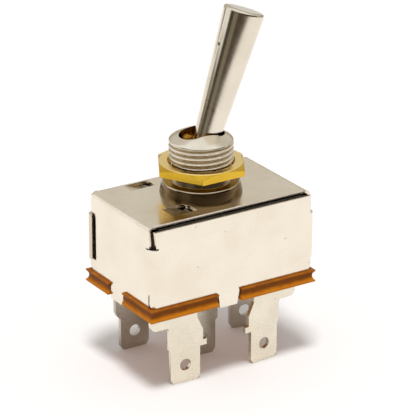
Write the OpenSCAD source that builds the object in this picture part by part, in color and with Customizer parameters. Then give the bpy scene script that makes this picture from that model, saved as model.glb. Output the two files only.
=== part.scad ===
// Panel toggle switch: folded steel case, threaded bushing with one nut, bat lever,
// rocking contact bar and five push-on blade terminals on an insulating base plate.
// Millimetres. The origin is on the bushing's axis, level with the terminal tips.
// X runs along the case and the throw of the lever, and Z points up.

/* [Case] */
// Length of the case over its two end walls
case_length = 34.9; // [34:0.1:38]
// Width of the case over its two long walls
case_width = 22.3; // [21.9:0.1:25]
// Height of the case from the base plate to the top face
case_height = 15.85; // [15.6:0.05:18]
// Thickness of the case's sheet steel
sheet = 0.6; // [0.4:0.05:0.8]
// Outer radius of the soft bends between the top and the end walls
end_bend = 1.25; // [1.1:0.05:1.6]
// Outer radius of the upright bends that join a long wall to its end wall
corner_bend = 1.4; // [1.1:0.1:2]
// Distance of the top plate's long edges in from the long walls' outer faces
top_inset = 1.2; // [0.9:0.05:1.25]
// Drop from the top face to the upper edges of the long walls
wall_drop = 0.8; // [0.6:0.05:1.2]
// Open seam between an end wall and the long wall beside it
seam_gap = 0.25; // [0.15:0.05:0.5]
// Depth below the top face at which the corner reliefs end
relief_depth = 4.0; // [3:0.1:5]
// Height of the slits beside the upright bends, from the base plate up
relief_height = 2.6; // [1.5:0.1:4]
// Width of the sawn slits at the corners
slit = 0.3; // [0.2:0.05:0.5]
// Distance that a long wall's edge keeps from the corner at the upper relief's foot
wall_setback = 0.95; // [0.8:0.05:1.2]
// Distance that the hooked free end of a long wall stands proud of the end wall
hook_proud = 0.45; // [0.3:0.05:0.5]
// Outer radius of the hooked free end
hook_bend = 0.9; // [0.8:0.05:1.1]
// Length of the straight lip after the hook's bend
hook_lip = 0.75; // [0.4:0.05:0.8]
// Depth of the notch beside each hook, measured from the case's long face
hook_notch = 2.4; // [2.3:0.05:3]
// Radius in the upper corner of the hook's notch and on the sheet's lower corners
notch_radius = 0.9; // [0.3:0.1:1]

/* [Stakes in the top] */
// Length of the two pressed-in stakes
stake_length = 5.2; // [4:0.1:6]
// Depth of the stakes at their sheared end
stake_depth = 1.0; // [0.6:0.1:1.4]
// Place of the stakes' sheared ends along the case
stake_x = -5.7; // [-6.2:0.1:-5.2]
// Width of the rear stake
rear_stake_width = 2.7; // [2:0.1:3.2]
// Place of the rear stake's middle across the case
rear_stake_y = 8.2; // [8:0.1:8.5]
// Width of the front stake
front_stake_width = 3.7; // [2.5:0.1:4]
// Place of the front stake's middle across the case
front_stake_y = -5.7; // [-6.2:0.1:-5.2]

/* [Crimp tabs] */
// Width of the tabs where they leave the case
tab_width = 4.8; // [3.5:0.1:5.5]
// Width of the tabs at their bent tips
tab_tip_width = 3.7; // [3:0.1:4.5]
// Offset of a long wall's tab from the middle of the wall
side_tab_offset = 0.92; // [0:0.02:1.5]
// Offset of an end wall's tab from the middle of the wall
end_tab_offset = 1.15; // [0:0.05:1.5]
// Reach of the tabs' bent tips under the base plate
tab_reach = 0.9; // [0.5:0.1:1.1]

/* [Base plate] */
// Thickness of the base plate
base_thickness = 2.35; // [2:0.05:3]
// Distance that the base plate stands out beyond the case
base_overhang = 0.55; // [0.5:0.05:1]
// Depth of the hollow moulded along the base plate's edges
groove_depth = 0.45; // [0.2:0.05:0.5]
// Height of the hollow moulded along the base plate's edges
groove_height = 1.8; // [1:0.1:1.9]

/* [Blade terminals] */
// Height of the blades' tips below the base plate
blade_drop = 15.2; // [14:0.1:18]
// Width of a blade
blade_width = 6.2; // [5.8:0.1:6.4]
// Thickness of a blade
blade_thickness = 0.8; // [0.6:0.05:0.9]
// Length of a blade below its shoulders
blade_length = 7.0; // [6:0.1:8]
// Cut on the corners of a blade's tip
tip_cut = 0.9; // [0.3:0.1:1.5]
// Height of the hole above the tip
eye_height = 3.55; // [2.5:0.05:4.5]
// Diameter of the hole in a blade
eye_bore = 2.3; // [1.6:0.1:2.8]
// Width of the shank that goes up through the base plate
shank_width = 4.0; // [3:0.1:5]
// Thickness of the ear that reaches sideways under the base plate
ear_height = 3.6; // [2.5:0.1:5]
// Distance from an eared blade's middle to the end of its ear
ear_reach = 7.3; // [6:0.1:8]
// Distance of the front blades in from the case's long face
front_inset = 3.0; // [2.75:0.05:3.75]
// Distance of the front blades in from the case's end faces
front_end_inset = 8.75; // [8.45:0.05:9.05]
// Twist of the front left blade
front_left_twist = -3; // [-5:0.5:5]
// Twist of the front right blade
front_right_twist = 5; // [-5:0.5:6]
// Distance of the rear left blade in from the case's left end face
rear_left_end_inset = 8.6; // [7.95:0.05:9.05]
// Distance of the rear left blade in from the case's rear face
rear_left_inset = 1.5; // [1.45:0.05:2.65]
// Distance of the rear right blade in from the case's right end face
rear_right_end_inset = 3.5; // [3.45:0.05:4.95]
// Distance of the rear right blade in from the case's rear face
rear_right_inset = 4.95; // [4.15:0.05:5.65]
// Twist of the rear right blade
rear_right_twist = -12; // [-15:1:0]

/* [Bushing and nut] */
// Outside diameter of the threaded bushing
thread_diameter = 12.0; // [11.8:0.1:12.2]
// Height of the thread's upper end above the case
thread_top = 10.0; // [9.5:0.1:12]
// Height of the crown's middle above the case
crown_top = 11.9; // [11.6:0.1:12.6]
// Diameter of the flange that sits on the case
flange_diameter = 15.4; // [14.2:0.1:17]
// Height of the flange
flange_height = 2.45; // [1.5:0.05:3]
// Width of the hexagon nut across its flats
nut_flats = 15.6; // [14.5:0.1:18]
// Thickness of the nut
nut_thickness = 1.7; // [1.3:0.05:2.5]
// Depth to which the nut's thread reaches into the bushing's
thread_grip = 0.5; // [0.3:0.05:0.55]
// Height of the nut's lower face above the case
nut_height = 4.5; // [3.2:0.05:5.5]

/* [Lever] */
// Tilt of the lever at the end of its throw
throw = 19; // [14:0.5:20]
// Height of the lever's pivot above the case
pivot_height = 6.6; // [6.4:0.1:6.8]
// Length of the lever from its pivot to its tip
lever_length = 28.8; // [24:0.1:32]
// Diameter of the lever at its tip
lever_tip_diameter = 7.8; // [6:0.1:8.5]
// Diameter of the lever where it leaves the bushing
neck_diameter = 5.1; // [4.6:0.1:5.2]
// Diameter of the ball that the lever turns on
ball_diameter = 7.8; // [7.4:0.1:8]
// Diameter of the lever's tail inside the case
tail_diameter = 5.2; // [4.8:0.1:5.3]
// Length of the tail from the pivot to its open end
tail_length = 10.6; // [10:0.1:11.5]
// Diameter of the plunger in the tail
plunger_diameter = 3.4; // [3:0.1:3.6]
// Distance from the pivot to the plunger's nose
nose_reach = 14.75; // [14.4:0.05:15]
// Wire diameter of the plunger's spring
wire_diameter = 0.4; // [0.3:0.05:0.5]
// Number of coils in the plunger's spring
coils = 5; // [3:1:6]

/* [Rocking contacts] */
// Tilt of the contact bar at each end of the throw
rock = 5; // [4:0.5:5.5]
// Distance of the contacts from the fulcrum, along the case
contact_x = 8.9; // [8.2:0.1:9.4]
// Distance of the contacts from the middle, across the case
contact_y = 4.9; // [4.6:0.1:5.3]
// Thickness of the contact bar
bar_thickness = 0.9; // [0.6:0.05:1.2]
// Thickness of the contact plates inside, on the base plate
plate_thickness = 0.8; // [0.6:0.05:1]
// Diameter of the contacts' heads
contact_diameter = 3.6; // [3:0.1:4]
// Height of a fixed contact's head
fixed_head = 0.7; // [0.5:0.05:1]
// Height of a moving contact's head, with its crown
moving_head = 0.65; // [0.5:0.05:0.9]
// Radius of the saddle's rounded ridge
ridge_radius = 0.8; // [0.6:0.05:1]
// Height of the contact bar's underside above the ridge's centre
bar_lift = 0.35; // [0.2:0.05:0.5]
// Thickness of the insulating liner
liner = 0.25; // [0.15:0.05:0.35]

/* [Fits] */
// Running clearance on the radius of parts that turn or slide in each other
running = 0.05; // [0.03:0.01:0.08]
// Clearance between fixed parts that fit into each other
fit = 0.05; // [0.03:0.01:0.1]
// Clearance between the lever's neck and the bushing's slot
slot_clearance = 0.12; // [0.08:0.01:0.2]
// Gap between the nose and the cap at the ends of the throw
nose_gap = 0.3; // [0.15:0.05:0.35]
// Air gap left at the closed contacts
contact_gap = 0.03; // [0.02:0.01:0.06]

/* [Hidden] */
$fn = 64;
eps = 0.01;
far = 100;

// Levels, from the terminal tips upwards
base_bottom = blade_drop;
floor_z = base_bottom + base_thickness;
top_z = floor_z + case_height;
relief_z = top_z - relief_depth;
slit_z = floor_z + relief_height;
plate_top = floor_z + plate_thickness;
pivot_z = top_z + pivot_height;

// Half sizes of the case
half_l = case_length / 2;
half_w = case_width / 2;

// Places of the blades, from the middle of the case
front_row = half_w - front_inset;
front_spacing = half_l - front_end_inset;
rear_left_x = rear_left_end_inset - half_l;
rear_left_y = half_w - rear_left_inset;
rear_right_x = half_l - rear_right_end_inset;
rear_right_y = half_w - rear_right_inset;

// Rocker: ridge height that just closes the contacts at the end of the throw
crown_radius = 6;
contact_level = plate_top + fixed_head + contact_gap;
crown_z = bar_lift - moving_head + crown_radius;
fulcrum_z = contact_level + crown_radius
    - (crown_z * cos(rock) - contact_x * sin(rock));
bar_bottom = bar_lift;
bar_top = bar_bottom + bar_thickness;
hump_radius = ridge_radius + running + bar_thickness;

// Path of the nose's centre, seen from the rocking bar
nose_radius = plunger_diameter / 2;
nose_arm = nose_reach - nose_radius;
mid_z = pivot_z - fulcrum_z - nose_arm;
end_x = nose_arm * sin(throw);
end_z = pivot_z - fulcrum_z - nose_arm * cos(throw);
track_x = end_x * cos(rock) - end_z * sin(rock);
track_z = end_z * cos(rock) + end_x * sin(rock);

// Trough in the cap: clears the nose by `running` in the middle, by `nose_gap` at the ends
trough_floor = mid_z - nose_radius - running;
trough_wall = nose_radius + nose_gap;
trough_shift = trough_floor + trough_wall;
trough_z = (track_x * track_x + track_z * track_z - trough_shift * trough_shift)
    / (2 * (track_z - trough_shift));
trough_radius = trough_z - trough_floor;

// Lever, measured along its own axis from the pivot
neck_w = crown_top - pivot_height;
taper = (lever_tip_diameter - neck_diameter) / 2 / (lever_length - neck_w);
bore_radius = plunger_diameter / 2 + running;
bore_end = 3.6;
spigot_top = 7.0;
plunger_top = 8.0;
slot_radius = neck_diameter / 2 + slot_clearance;

// Bushing: its thread is drawn at its crests, and at the grip's depth inside the nut
spigot_radius = 6.3;
lip_height = 0.5;
lip_reach = 0.6;
crown_rise = 0.3;
thread_radius = thread_diameter / 2;
grip_radius = thread_radius - thread_grip;
seat_radius = ball_diameter / 2 + running;

// Nut
chamfer_step = 0.15;
countersink = 0.3;

// Case and blades
far_setback = 0.5;
wall_lean = 0.35;
relief_back = 1.6 * corner_bend;
side_tab_lean = -0.05;
end_tab_lean = -0.35;
tip_cut_width = 0.7 * tip_cut;

// Small pieces inside
contact_shank = 0.9;
plate_half = 2.5;
rivet_radius = 0.9;
rivet_head_radius = 1.45;
rivet_head = 0.6;
rivet_margin = 1.6;
saddle_rivet_y = 5.8;
saddle_reach = saddle_rivet_y + rivet_margin;
ridge_half = saddle_rivet_y - rivet_margin;
leg_flare = 0.25;
bar_margin = 0.4;
peg_radius = 0.8;
peg_head_radius = 1.1;
peg_head = 0.3;
peg_x = 4.6;
peg_y = 2.9;
cap_half = 6.2;
cap_half_y = 4.4;
trough_lip = 0.4;
spring_radius = plunger_diameter / 2 - 0.1;
flange_edge = 0.25;

// Colours
nickel = [0.80, 0.78, 0.73];
steel = [0.84, 0.81, 0.75];
brass = [0.86, 0.65, 0.22];
amber = [0.70, 0.36, 0.07];
copper = [0.75, 0.45, 0.28];
silver = [0.90, 0.90, 0.90];
black = [0.10, 0.09, 0.08];
cream = [0.86, 0.82, 0.70];

// ---------------------------------------------------------------- case

// Flat corner of radius r, to be taken from a square corner at the origin
module corner_cut(r) {
    difference() {
        translate([-eps, -eps]) square(r + eps);
        translate([r, r]) circle(r);
    }
}

// Outline of the top and the two end walls, in X and Z
module hood_outline(inset) {
    r = end_bend - inset;
    l = half_l - inset;
    difference() {
        translate([-l, floor_z - inset]) square([2 * l, case_height]);
        for (s = [0, 1])
            mirror([s, 0])
                translate([-l, top_z - inset]) mirror([0, 1]) corner_cut(r);
    }
}

// Top plate with its two end walls, before the reliefs are cut
module hood() {
    rotate([90, 0, 0])
        linear_extrude(2 * (half_w - sheet - seam_gap), center = true)
            difference() {
                hood_outline(0);
                hood_outline(sheet);
            }
}

// Sheet bent through a quarter turn, about an upright line
module upright_bend(outer, low, high) {
    translate([0, 0, low])
        intersection() {
            difference() {
                cylinder(h = high - low, r = outer);
                translate([0, 0, -eps]) cylinder(h = high - low + 2 * eps, r = outer - sheet);
            }
            translate([-outer, -outer, 0]) cube([outer, outer, high - low]);
        }
}

// Tapered crimp tab in the X-Z plane, its root on the case's lower edge
module tab_outline(offset_x, lean) {
    tip_z = base_bottom - fit - sheet;
    polygon([
        [offset_x - tab_width / 2, floor_z + eps],
        [offset_x + tab_width / 2, floor_z + eps],
        [offset_x + lean + tab_tip_width / 2, tip_z],
        [offset_x + lean - tab_tip_width / 2, tip_z]
    ]);
}

// Crimp tab of a wall whose outer face lies at -wall, with its tip bent inwards
module tab(wall, offset_x, lean) {
    tip_z = base_bottom - fit - sheet;
    intersection() {
        rotate([90, 0, 0])
            translate([0, 0, wall - sheet - tab_reach])
                linear_extrude(sheet + tab_reach) tab_outline(offset_x, lean);
        union() {
            translate([-far / 2, -wall, tip_z])
                cube([far, sheet, floor_z - tip_z + 2 * eps]);
            translate([-far / 2, -wall, tip_z])
                cube([far, sheet + tab_reach, sheet]);
        }
    }
}

// Front wall: its bend at the left, its hook at the right and its tab
module long_wall() {
    wall_top = top_z - wall_drop;
    hook_x = half_l + hook_proud - hook_bend;
    rotate([90, 0, 0])
        translate([0, 0, half_w - sheet])
            linear_extrude(sheet) {
                // upper stretch, its left edge slanted
                polygon([
                    [-half_l + wall_setback, relief_z - eps],
                    [-half_l + wall_setback - wall_lean, wall_top],
                    [half_l - far_setback, wall_top],
                    [half_l - far_setback, relief_z - eps]
                ]);
                // middle stretch, from bend to hook
                translate([-half_l + corner_bend, slit_z])
                    square([half_l - corner_bend + hook_x, relief_z - slit_z]);
                // lower stretch, with its free corner rounded
                difference() {
                    translate([-half_l + corner_bend, floor_z])
                        square([case_length - corner_bend - slit, relief_height + eps]);
                    translate([half_l - slit, floor_z])
                        mirror([1, 0]) corner_cut(notch_radius);
                }
            }
    // upright bend, slit from the end wall at its foot
    difference() {
        translate([-half_l + corner_bend, -half_w + corner_bend, 0])
            upright_bend(corner_bend, floor_z, relief_z - slit);
        translate([-half_l - 1, -half_w + corner_bend - slit, floor_z])
            rotate([90, 0, 90])
                linear_extrude(1 + corner_bend) {
                    translate([0, -1]) square([slit + 1, relief_height + 1]);
                    mirror([1, 0]) corner_cut(notch_radius);
                }
    }
    // hook and its lip
    translate([hook_x, -half_w + hook_bend, 0])
        mirror([1, 0, 0]) upright_bend(hook_bend, slit_z, relief_z - slit);
    translate([hook_x + hook_bend - sheet, -half_w + hook_bend - eps, slit_z])
        cube([sheet, hook_lip + eps, relief_z - slit - slit_z]);
    tab(half_w, -side_tab_offset, side_tab_lean);
}

// What is cut from the left end wall for the wall bent from it and for the rear hook
module end_wall_reliefs() {
    // room for the front wall's bend
    translate([-half_l - 1, -half_w - 1, floor_z - 1])
        cube([1 + 2 * sheet, 1 + corner_bend, relief_z - slit - floor_z + 1]);
    // upper stretch of the end wall's front edge, level with the top plate's
    translate([-half_l - 1, -half_w - 1, relief_z - slit])
        cube([1 + end_bend + eps, 1 + top_inset, relief_depth + slit + 1]);
    // sloping slit above the bend
    rotate([0, -90, 0])
        translate([0, 0, half_l - 2 * sheet])
            linear_extrude(2 * sheet + 1)
                polygon([
                    [relief_z, -half_w - 1],
                    [relief_z, -half_w],
                    [relief_z - slit, -half_w + relief_back],
                    [relief_z - 1.5 * slit, -half_w + relief_back],
                    [relief_z - 2 * slit, -half_w],
                    [relief_z - 2 * slit, -half_w - 1]
                ]);
    // notch for the rear wall's hook
    translate([-half_l - 1, half_w - hook_notch, slit_z])
        rotate([90, 0, 90])
            linear_extrude(1 + 2 * sheet)
                difference() {
                    square([hook_notch + 1, relief_z - slit_z]);
                    translate([0, relief_z - slit_z]) mirror([0, 1]) corner_cut(notch_radius);
                }
    // rear edge of the top plate
    translate([-half_l + end_bend, half_w - top_inset, top_z - end_bend])
        cube([far, far, far]);
}

// Stake pressed down from the top: a ramp that ends in a sheared edge
module stake_cut(width, y) {
    translate([stake_x - stake_length, y - width / 2, top_z - 3 * sheet])
        cube([stake_length, width, 3 * sheet + 1]);
}

module stake_ramp(width, y) {
    translate([stake_x, y + width / 2, 0])
        rotate([90, 0, 0])
            linear_extrude(width)
                polygon([
                    [-stake_length, top_z],
                    [-stake_length, top_z - sheet],
                    [0, top_z - sheet - stake_depth],
                    [0, top_z - stake_depth]
                ]);
}

module housing() {
    color(steel) {
        difference() {
            hood();
            for (turn = [0, 180]) rotate([0, 0, turn]) end_wall_reliefs();
            translate([0, 0, top_z - 2 * sheet]) cylinder(h = 4 * sheet, r = spigot_radius + fit);
            stake_cut(rear_stake_width, rear_stake_y);
            stake_cut(front_stake_width, front_stake_y);
        }
        stake_ramp(rear_stake_width, rear_stake_y);
        stake_ramp(front_stake_width, front_stake_y);
        for (turn = [0, 180])
            rotate([0, 0, turn]) {
                long_wall();
                rotate([0, 0, -90]) tab(half_l, -end_tab_offset, end_tab_lean);
            }
    }
}

// ---------------------------------------------------------------- base plate

// Hollow along one edge of the base plate, cut by a long rod
module edge_groove(reach) {
    chord = groove_height / 2;
    r = (chord * chord + groove_depth * groove_depth) / (2 * groove_depth);
    translate([-far / 2, -reach - r + groove_depth, base_bottom + base_thickness / 2])
        rotate([0, 90, 0]) cylinder(h = far, r = r);
}

// Notch in the base plate that a crimp tab passes through
module tab_notch(wall, offset_x) {
    translate([offset_x - tab_width / 2 - 2 * fit, -wall - base_overhang - 1, base_bottom - 1])
        cube([tab_width + 4 * fit, base_overhang + 1 + sheet + fit, base_thickness + 2]);
}

module base_plate() {
    reach_x = half_l + base_overhang;
    reach_y = half_w + base_overhang;
    color(amber)
        difference() {
            translate([-reach_x, -reach_y, base_bottom])
                cube([2 * reach_x, 2 * reach_y, base_thickness]);
            for (turn = [0, 180])
                rotate([0, 0, turn]) {
                    edge_groove(reach_y);
                    rotate([0, 0, 90]) edge_groove(reach_x);
                    tab_notch(half_w, -side_tab_offset);
                    rotate([0, 0, -90]) tab_notch(half_l, -end_tab_offset);
                }
            for (y = [-1, 1])
                translate([0, y * saddle_rivet_y, base_bottom - 1])
                    cylinder(h = base_thickness + 2, r = rivet_radius + fit);
            shank_slot([-front_spacing, -front_row], front_left_twist);
            shank_slot([front_spacing, -front_row], front_right_twist);
            shank_slot([rear_left_x, rear_left_y], 0);
            shank_slot([rear_right_x, rear_right_y], rear_right_twist);
            shank_slot([0, 0], 0);
        }
}

// ---------------------------------------------------------------- terminals

// Slot in the base plate for a terminal's shank
module shank_slot(place, twist) {
    translate([place[0], place[1], base_bottom - 1])
        rotate([0, 0, twist])
            translate([-shank_width / 2 - fit, -blade_thickness / 2 - fit, 0])
                cube([shank_width + 2 * fit, blade_thickness + 2 * fit, base_thickness + 2]);
}

// Blade below the shoulders, with its tip's corners cut and its eye
module blade_outline() {
    w = blade_width / 2;
    difference() {
        polygon([
            [-w, blade_length + eps],
            [-w, tip_cut],
            [-w + tip_cut_width, 0],
            [w - tip_cut_width, 0],
            [w, tip_cut],
            [w, blade_length + eps]
        ]);
        translate([0, eye_height]) circle(d = eye_bore);
    }
}

// Stamped outline of an eared terminal, its ear towards -X
module eared_outline() {
    w = blade_width / 2;
    step = 0.6;
    burr = [1.4, 1.2];
    slope_height = 2.6;
    ear_z = base_bottom - ear_height;
    inner = w - step;
    slope_top = base_bottom - slope_height;
    slope_foot = slope_top - slope_height;
    blade_outline();
    difference() {
        polygon([
            [-w - step / 2, blade_length],
            [-w - step / 2, ear_z - step],
            [-w - step, ear_z],
            [-ear_reach, ear_z],
            [-ear_reach, base_bottom],
            [inner, base_bottom],
            [inner, slope_top],
            [w + step, slope_foot],
            [w + step, blade_length]
        ]);
        translate([-ear_reach, ear_z]) corner_cut(step * 2);
    }
    // burr left where the strip was sheared
    translate([w, blade_length - step / 2]) square(burr);
    shank_outline();
}

// Stamped outline of a plain terminal, its wider shoulder towards -X
module plain_outline() {
    w = blade_width / 2;
    wide = 1.1;
    narrow = 0.5;
    blade_outline();
    polygon([
        [-w, blade_length - narrow],
        [-w - wide / 2, blade_length],
        [-w - wide, blade_length + wide],
        [-w - wide, base_bottom],
        [w + narrow, base_bottom],
        [w + narrow, blade_length],
        [w, blade_length - narrow]
    ]);
    shank_outline();
}

// Shank through the base plate
module shank_outline() {
    translate([-shank_width / 2, base_bottom - eps])
        square([shank_width, base_thickness + plate_thickness + eps]);
}

// Extrudes a stamped outline to the blade's thickness, about its own middle
module stamping() {
    rotate([90, 0, 0]) linear_extrude(blade_thickness, center = true) children();
}

// Contact plate on the base plate, with the hole for its contact's shank
module contact_plate(low, high, side_x, side_y) {
    difference() {
        translate([low[0], low[1], floor_z])
            cube([high[0] - low[0], high[1] - low[1], plate_thickness]);
        translate([side_x * contact_x, side_y * contact_y, floor_z - 1])
            cylinder(h = plate_thickness + 2, r = contact_shank + fit);
    }
}

module terminal_front_left() {
    color(nickel) {
        translate([-front_spacing, -front_row, 0])
            rotate([0, 0, front_left_twist]) stamping() eared_outline();
        contact_plate([-contact_x - plate_half, -front_row - blade_thickness / 2],
            [-contact_x + plate_half, -contact_y + plate_half], -1, -1);
    }
}

module terminal_front_right() {
    color(nickel) {
        translate([front_spacing, -front_row, 0])
            rotate([0, 0, front_right_twist]) mirror([1, 0, 0]) stamping() eared_outline();
        contact_plate([contact_x - plate_half, -front_row - blade_thickness / 2],
            [contact_x + plate_half, -contact_y + plate_half], 1, -1);
    }
}

module terminal_rear_left() {
    color(nickel) {
        translate([rear_left_x, rear_left_y, 0]) stamping() plain_outline();
        contact_plate([-contact_x - plate_half, contact_y - plate_half],
            [-contact_x + plate_half, rear_left_y + blade_thickness / 2], -1, 1);
    }
}

module terminal_rear_right() {
    color(nickel) {
        translate([rear_right_x, rear_right_y, 0])
            rotate([0, 0, rear_right_twist]) stamping() plain_outline();
        contact_plate([contact_x - plate_half, contact_y - plate_half],
            [rear_right_x + shank_width / 2, rear_right_y + blade_thickness], 1, 1);
    }
}

module terminal_common() {
    color(nickel) {
        stamping() plain_outline();
        difference() {
            translate([-plate_half, -saddle_reach, floor_z])
                cube([2 * plate_half, 2 * saddle_reach, plate_thickness]);
            for (y = [-1, 1])
                translate([0, y * saddle_rivet_y, floor_z - 1])
                    cylinder(h = plate_thickness + 2, r = rivet_radius + fit);
        }
    }
}

// ---------------------------------------------------------------- contacts

// Silver contact riveted into a contact plate
module fixed_contact(side_x, side_y) {
    color(silver)
        translate([side_x * contact_x, side_y * contact_y, 0]) {
            translate([0, 0, plate_top]) cylinder(h = fixed_head, d = contact_diameter);
            translate([0, 0, floor_z]) cylinder(h = plate_thickness + eps, r = contact_shank);
        }
}

module fixed_contact_front_left() { fixed_contact(-1, -1); }
module fixed_contact_front_right() { fixed_contact(1, -1); }
module fixed_contact_rear_left() { fixed_contact(-1, 1); }
module fixed_contact_rear_right() { fixed_contact(1, 1); }

// Crowned silver contact riveted into the contact bar
module moving_contact(side_x, side_y) {
    color(silver)
        rocking()
            translate([side_x * contact_x, side_y * contact_y, 0]) {
                translate([0, 0, bar_bottom - eps])
                    cylinder(h = bar_thickness + eps, r = contact_shank);
                intersection() {
                    translate([0, 0, crown_z]) sphere(r = crown_radius);
                    translate([0, 0, bar_bottom - moving_head])
                        cylinder(h = moving_head, d = contact_diameter - 2 * running);
                }
            }
}

module moving_contact_front_left() { moving_contact(-1, -1); }
module moving_contact_front_right() { moving_contact(1, -1); }
module moving_contact_rear_left() { moving_contact(-1, 1); }
module moving_contact_rear_right() { moving_contact(1, 1); }

// ---------------------------------------------------------------- rocker

// Places what rocks: its own frame has the ridge's centre at the origin
module rocking() {
    translate([0, 0, fulcrum_z]) rotate([0, -rock, 0]) children();
}

// Folded saddle that the contact bar rocks on
module fulcrum_saddle() {
    foot = plate_top - fulcrum_z;
    leg = ridge_radius + leg_flare;
    color(copper)
        translate([0, 0, fulcrum_z])
            difference() {
                union() {
                    rotate([90, 0, 0])
                        linear_extrude(2 * ridge_half, center = true) {
                            circle(r = ridge_radius);
                            polygon([
                                [-ridge_radius, 0],
                                [ridge_radius, 0],
                                [leg, foot],
                                [-leg, foot]
                            ]);
                        }
                    translate([-plate_half, -saddle_reach, foot])
                        cube([2 * plate_half, 2 * saddle_reach, sheet]);
                }
                translate([0, 0, foot - eps])
                    rotate([90, 0, 0])
                        linear_extrude(2 * ridge_half + 1, center = true)
                            polygon([
                                [-leg + sheet, 0],
                                [0, -foot],
                                [leg - sheet, 0]
                            ]);
                for (y = [-1, 1])
                    translate([0, y * saddle_rivet_y, foot - 1])
                        cylinder(h = sheet + 2, r = rivet_radius + fit);
            }
}

// Rivet through saddle, common terminal and base plate
module saddle_rivet(side_y) {
    low = base_bottom - rivet_head;
    high = plate_top + sheet;
    color(copper)
        translate([0, side_y * saddle_rivet_y, 0]) {
            translate([0, 0, low]) cylinder(h = high + rivet_head - low, r = rivet_radius);
            translate([0, 0, high])
                cylinder(h = rivet_head, r1 = rivet_head_radius, r2 = rivet_radius);
            translate([0, 0, low])
                cylinder(h = rivet_head, r1 = rivet_radius, r2 = rivet_head_radius);
        }
}

module saddle_rivet_front() { saddle_rivet(-1); }
module saddle_rivet_rear() { saddle_rivet(1); }

// Section of the contact bar: two flat wings and a hump over the ridge
module bar_section() {
    reach = contact_x + contact_diameter / 2 + bar_margin;
    difference() {
        union() {
            translate([-reach, bar_bottom]) square([2 * reach, bar_thickness]);
            circle(r = hump_radius);
        }
        circle(r = ridge_radius + running);
        translate([-reach - 1, -reach]) square([2 * reach + 2, reach + bar_bottom]);
    }
}

module contact_bar() {
    half_y = contact_y + contact_diameter / 2 + bar_margin;
    color(copper)
        rocking()
            difference() {
                rotate([90, 0, 0])
                    linear_extrude(2 * half_y, center = true) bar_section();
                for (x = [-1, 1], y = [-1, 1]) {
                    translate([x * contact_x, y * contact_y, 0])
                        cylinder(h = 4 * bar_thickness, r = contact_shank + fit);
                    translate([x * peg_x, y * peg_y, 0])
                        cylinder(h = 4 * bar_thickness, r = peg_radius + fit);
                }
            }
}

// Moulded cap with the nose's trough, held by four staked pegs
module rocker_cap() {
    cap_top = trough_z - sqrt(trough_radius * trough_radius - cap_half * cap_half)
        + trough_lip;
    color(black)
        rocking() {
            difference() {
                translate([-cap_half, -cap_half_y, bar_top])
                    cube([2 * cap_half, 2 * cap_half_y, cap_top - bar_top]);
                rotate([90, 0, 0]) {
                    translate([0, trough_z, 0])
                        cylinder(h = 3 * cap_half_y, r = trough_radius, center = true, $fn = 128);
                    cylinder(h = 3 * cap_half_y, r = hump_radius + fit, center = true);
                }
            }
            for (x = [-1, 1], y = [-1, 1])
                translate([x * peg_x, y * peg_y, 0]) {
                    translate([0, 0, bar_bottom - peg_head])
                        cylinder(h = peg_head + bar_thickness + eps, r = peg_radius);
                    translate([0, 0, bar_bottom - peg_head])
                        cylinder(h = peg_head, r = peg_head_radius);
                }
        }
}

// ---------------------------------------------------------------- lever

// Places what tilts: its own frame has the pivot at the origin, the lever along Z
module tilting() {
    translate([0, 0, pivot_z]) rotate([0, throw, 0]) children();
}

module lever() {
    tip = lever_tip_diameter / 2;
    edge = 0.35;
    root_w = 2;
    root = neck_diameter / 2 - taper * (neck_w - root_w);
    color(nickel)
        tilting()
            difference() {
                union() {
                    sphere(d = ball_diameter, $fn = 96);
                    rotate_extrude($fn = 96)
                        polygon([
                            [0, root_w],
                            [root, root_w],
                            [tip - edge * taper, lever_length - edge],
                            [tip - edge, lever_length],
                            [0, lever_length]
                        ]);
                    translate([0, 0, -tail_length])
                        cylinder(h = tail_length, d = tail_diameter);
                }
                translate([0, 0, -tail_length - 1])
                    cylinder(h = tail_length + 1 - bore_end, r = bore_radius);
            }
}

module plunger() {
    color(cream)
        tilting() {
            translate([0, 0, -nose_arm]) sphere(r = nose_radius);
            translate([0, 0, -nose_arm]) cylinder(h = nose_arm - plunger_top, r = nose_radius);
            translate([0, 0, -plunger_top - eps])
                cylinder(h = plunger_top - spigot_top, r = spring_radius - wire_diameter - 2 * fit);
        }
}

// Point of the spring's wire: turn in degrees along the helix, angle round the wire
function wire_point(turn, angle) =
    let (
        rise = wire_diameter / 2 + fit,
        low = -plunger_top + rise,
        high = -bore_end - rise,
        r = spring_radius - wire_diameter / 2 + wire_diameter / 2 * cos(angle)
    )
    [
        r * cos(turn),
        r * sin(turn),
        low + (high - low) * turn / (360 * coils) + wire_diameter / 2 * sin(angle)
    ];

module plunger_spring() {
    steps = 16 * coils;
    sides = 6;
    points = [
        for (i = [0 : steps], j = [0 : sides - 1])
            wire_point(360 * coils * i / steps, 360 * j / sides)
    ];
    walls = [
        for (i = [0 : steps - 1], j = [0 : sides - 1])
            let (k = (j + 1) % sides)
            [i * sides + j, (i + 1) * sides + j, (i + 1) * sides + k, i * sides + k]
    ];
    start = [for (j = [0 : sides - 1]) j];
    finish = [for (j = [sides - 1 : -1 : 0]) steps * sides + j];
    color(steel) tilting() polyhedron(points, concat(walls, [start, finish]));
}

// ---------------------------------------------------------------- bushing

// Space that the lever's neck needs between the two ends of its throw
module neck_slot() {
    height = crown_top + 5;
    for (side = [-1, 1])
        rotate([0, side * throw, 0]) cylinder(h = height, r = slot_radius);
    rotate([90, 0, 0])
        linear_extrude(2 * slot_radius, center = true)
            polygon([
                [0, 0],
                [-height * sin(throw), height * cos(throw)],
                [height * sin(throw), height * cos(throw)]
            ]);
}

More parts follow.
